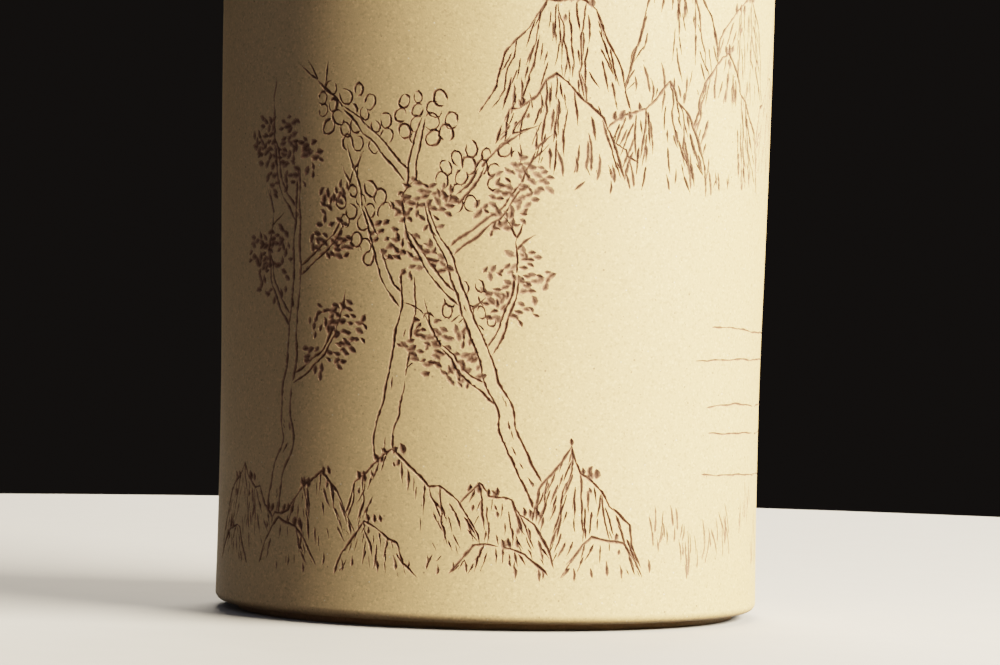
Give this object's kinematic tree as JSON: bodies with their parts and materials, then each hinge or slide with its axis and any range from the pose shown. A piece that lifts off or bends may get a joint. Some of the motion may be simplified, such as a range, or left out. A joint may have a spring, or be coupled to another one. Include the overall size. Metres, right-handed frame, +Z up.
{
  "type": "brush pot",
  "caption": "Straight round pot of unglazed cream clay for standing writing brushes in, with a slightly waisted wall, a low inset foot ring and a thickened lip.",
  "frame": {"origin": "on the table, at the centre of the foot ring's underside", "axes": "+Z up along the pot's axis; -Y towards the carved front; the wall's seam is at the back, +Y"},
  "size_m": [0.1124, 0.1124, 0.15],
  "materials": {
    "clay": "matte, unglazed, fine sandy grain",
    "slip": "matte, unglazed",
    "line_wash": "matte dark brown clay wash in the carved lines"
  },
  "bodies": {
    "root": {"wall_slab": "clay", "seam_slip": "slip", "base_disc": "clay", "base_slip": "slip", "corner_coil": "clay", "foot_ring": "clay", "foot_slip": "slip", "mouth_band": "clay", "mouth_slip": "slip"}
  },
  "joints": []
}
